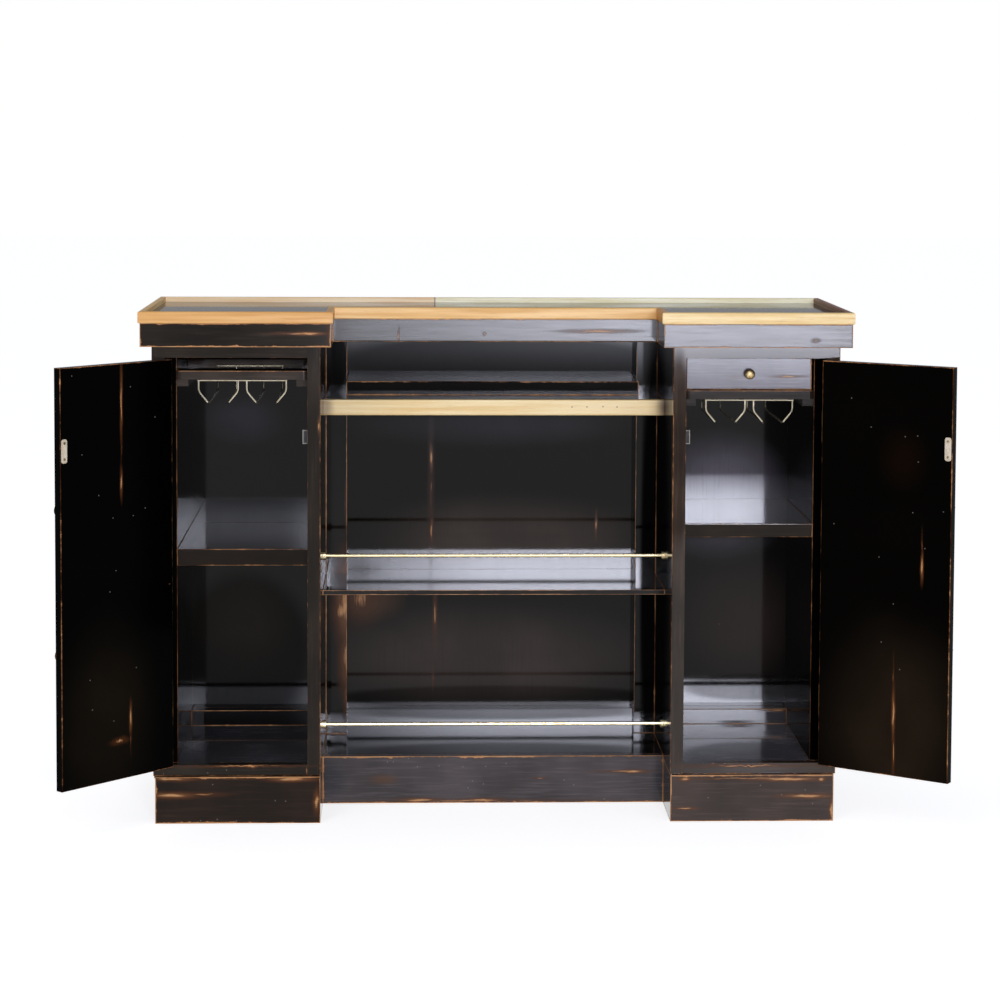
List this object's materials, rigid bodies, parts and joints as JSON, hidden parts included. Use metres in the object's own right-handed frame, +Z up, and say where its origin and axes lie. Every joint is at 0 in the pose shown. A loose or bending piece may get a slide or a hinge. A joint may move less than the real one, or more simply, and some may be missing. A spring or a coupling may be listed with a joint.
{
  "type": "bar armoire",
  "caption": "Breakfront bar cabinet with hinged pedestal doors, hanging stemware racks, a drawer, a recessed serving bay with brass rails and a tray-edged top.",
  "frame": {"origin": "on the floor, mid-width and mid-depth of the carcass, under the centre bay's sleeper", "axes": "+X along the width to the right as seen from the server's front, +Y towards the guests' back, +Z up"},
  "size_m": [1.8111, 0.6969, 1.07],
  "materials": {
    "black_paint": "satin black paint over wood, rubbed through to tan wood along the arrises",
    "honey_wood": "clear waxed honey wood",
    "aged_brass": "aged brass",
    "pale_brass": "pale polished brass",
    "black_iron": "black forged iron",
    "steel_wire": "cream-bright wire",
    "ivory_case": "ivory moulding",
    "magnet": "dark ferrite and steel"
  },
  "bodies": {
    "carcass": {"top_panel": "black_paint", "edge_front_left": "honey_wood", "edge_return_left": "honey_wood", "edge_front_centre": "honey_wood", "edge_return_right": "honey_wood", "edge_front_right": "honey_wood", "edge_side_right": "honey_wood", "edge_back": "honey_wood", "edge_side_left": "honey_wood", "frieze_left": "black_paint", "frieze_right": "black_paint", "frieze_centre": "black_paint", "frieze_back": "black_paint", "rear_panel": "black_paint", "counter": "black_paint", "counter_edge": "honey_wood", "counter_step": "black_paint", "centre_shelf": "black_paint", "bottom_shelf": "black_paint", "centre_plinth": "black_paint", "back_frame": "black_paint", "rail_upper": "pale_brass", "rail_lower": "pale_brass", "left_outer_side": "black_paint", "left_inner_side": "black_paint", "left_face_frame": "black_paint", "left_floor": "black_paint", "left_hinge_liner": "black_paint", "left_shelf": "black_paint", "left_low_rail": "black_paint", "left_plinth": "black_paint", "left_rack_frame": "black_paint", "left_wire_rack": "steel_wire", "left_catch_case": "ivory_case", "right_outer_side": "black_paint", "right_inner_side": "black_paint", "right_face_frame": "black_paint", "right_floor": "black_paint", "right_hinge_liner": "black_paint", "right_shelf": "black_paint", "right_low_rail": "black_paint", "right_plinth": "black_paint", "right_rack_frame": "black_paint", "right_wire_rack": "steel_wire", "right_catch_case": "ivory_case"},
    "left_door": {"left_door": "black_paint", "left_door_pull": "black_iron", "left_strike": "pale_brass", "left_hinge_lower": "aged_brass", "left_hinge_upper": "aged_brass"},
    "left_magnet": {"left_catch_magnet": "magnet"},
    "right_door": {"right_door": "black_paint", "right_door_pull": "black_iron", "right_strike": "pale_brass", "right_hinge_lower": "aged_brass", "right_hinge_upper": "aged_brass"},
    "right_magnet": {"right_catch_magnet": "magnet"},
    "drawer": {"drawer_front": "black_paint", "drawer_box": "honey_wood", "drawer_knob": "pale_brass"}
  },
  "joints": [
    {"name": "left_door_hinge", "type": "hinge", "parent": "carcass", "child": "left_door", "pos_m": [-0.68625, -0.2243, 0.547], "axis": [0, 0, -1], "range_deg": [-134, 36]},
    {"name": "right_door_hinge", "type": "hinge", "parent": "carcass", "child": "right_door", "pos_m": [0.68625, -0.2243, 0.547], "axis": [0, 0, 1], "range_deg": [-145, 25]},
    {"name": "drawer_slide", "type": "slide", "parent": "carcass", "child": "drawer", "axis": [0, -1, 0], "range_m": [0, 0.25]},
    {"name": "left_catch_float", "type": "slide", "parent": "carcass", "child": "left_magnet", "axis": [0, -1, 0], "range_m": [0, 0.001]},
    {"name": "right_catch_float", "type": "slide", "parent": "carcass", "child": "right_magnet", "axis": [0, -1, 0], "range_m": [0, 0.001]}
  ]
}
